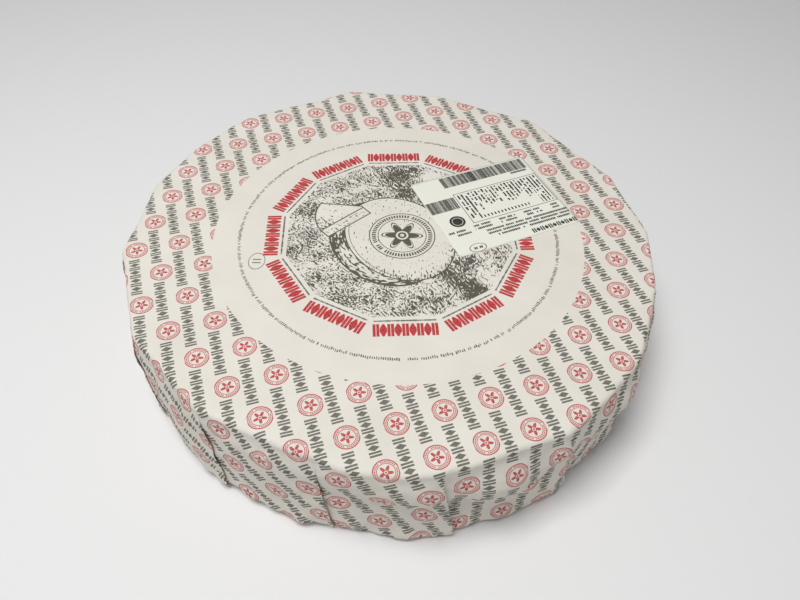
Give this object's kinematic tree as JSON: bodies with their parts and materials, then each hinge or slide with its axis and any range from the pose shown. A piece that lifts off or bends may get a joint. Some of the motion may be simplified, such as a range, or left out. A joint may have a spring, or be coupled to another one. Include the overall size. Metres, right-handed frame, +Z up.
{
  "type": "wrapped cheese wheel",
  "caption": "Low round cheese wheel folded into one sheet of printed paper, pleated down the wall and turned under, with an adhesive label on the flat top.",
  "frame": {"origin": "centre of the flat underside, on the wheel's axis", "axes": "+Z up along the wheel's axis; +X and +Y in the plane of the underside, with the label towards +X"},
  "size_m": [0.3834, 0.3834, 0.0805],
  "materials": {
    "rind": "dry washed cheese rind",
    "wrap_paper": "matt printed wrapping paper",
    "label_paper": "smooth thermal label"
  },
  "bodies": {
    "root": {"cheese_wheel": "rind", "paper_wrap": "wrap_paper", "product_label": "label_paper"}
  },
  "joints": []
}
